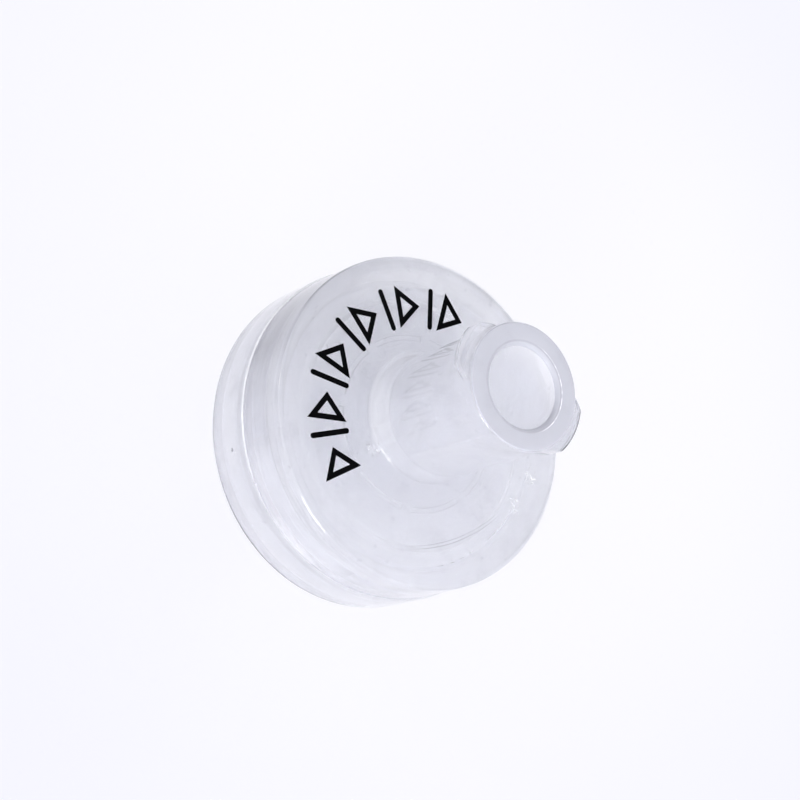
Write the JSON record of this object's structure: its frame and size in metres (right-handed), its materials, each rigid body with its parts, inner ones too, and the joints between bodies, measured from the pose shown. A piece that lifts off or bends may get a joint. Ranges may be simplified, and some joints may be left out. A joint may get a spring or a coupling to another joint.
{
  "type": "syringe filter",
  "caption": "Round disposable syringe filter: milky clear plastic body with a luer-lock inlet tube above and a tapered luer outlet tip below, sealed around a membrane disc.",
  "frame": {"origin": "centre of the outlet tip's end face, the lowest point of the part", "axes": "+Z along the filter's axis, from the outlet tip to the inlet tube; +X through the middle of one luer-lock lug"},
  "size_m": [0.0192, 0.0192, 0.0242],
  "materials": {
    "clear_plastic": "milky clear polypropylene, moulded gloss",
    "membrane": "white porous sheet, matt",
    "print": "black pad-printed ink"
  },
  "bodies": {
    "root": {"inlet_housing": "clear_plastic", "filter_membrane": "membrane", "outlet_housing": "clear_plastic"}
  },
  "joints": []
}
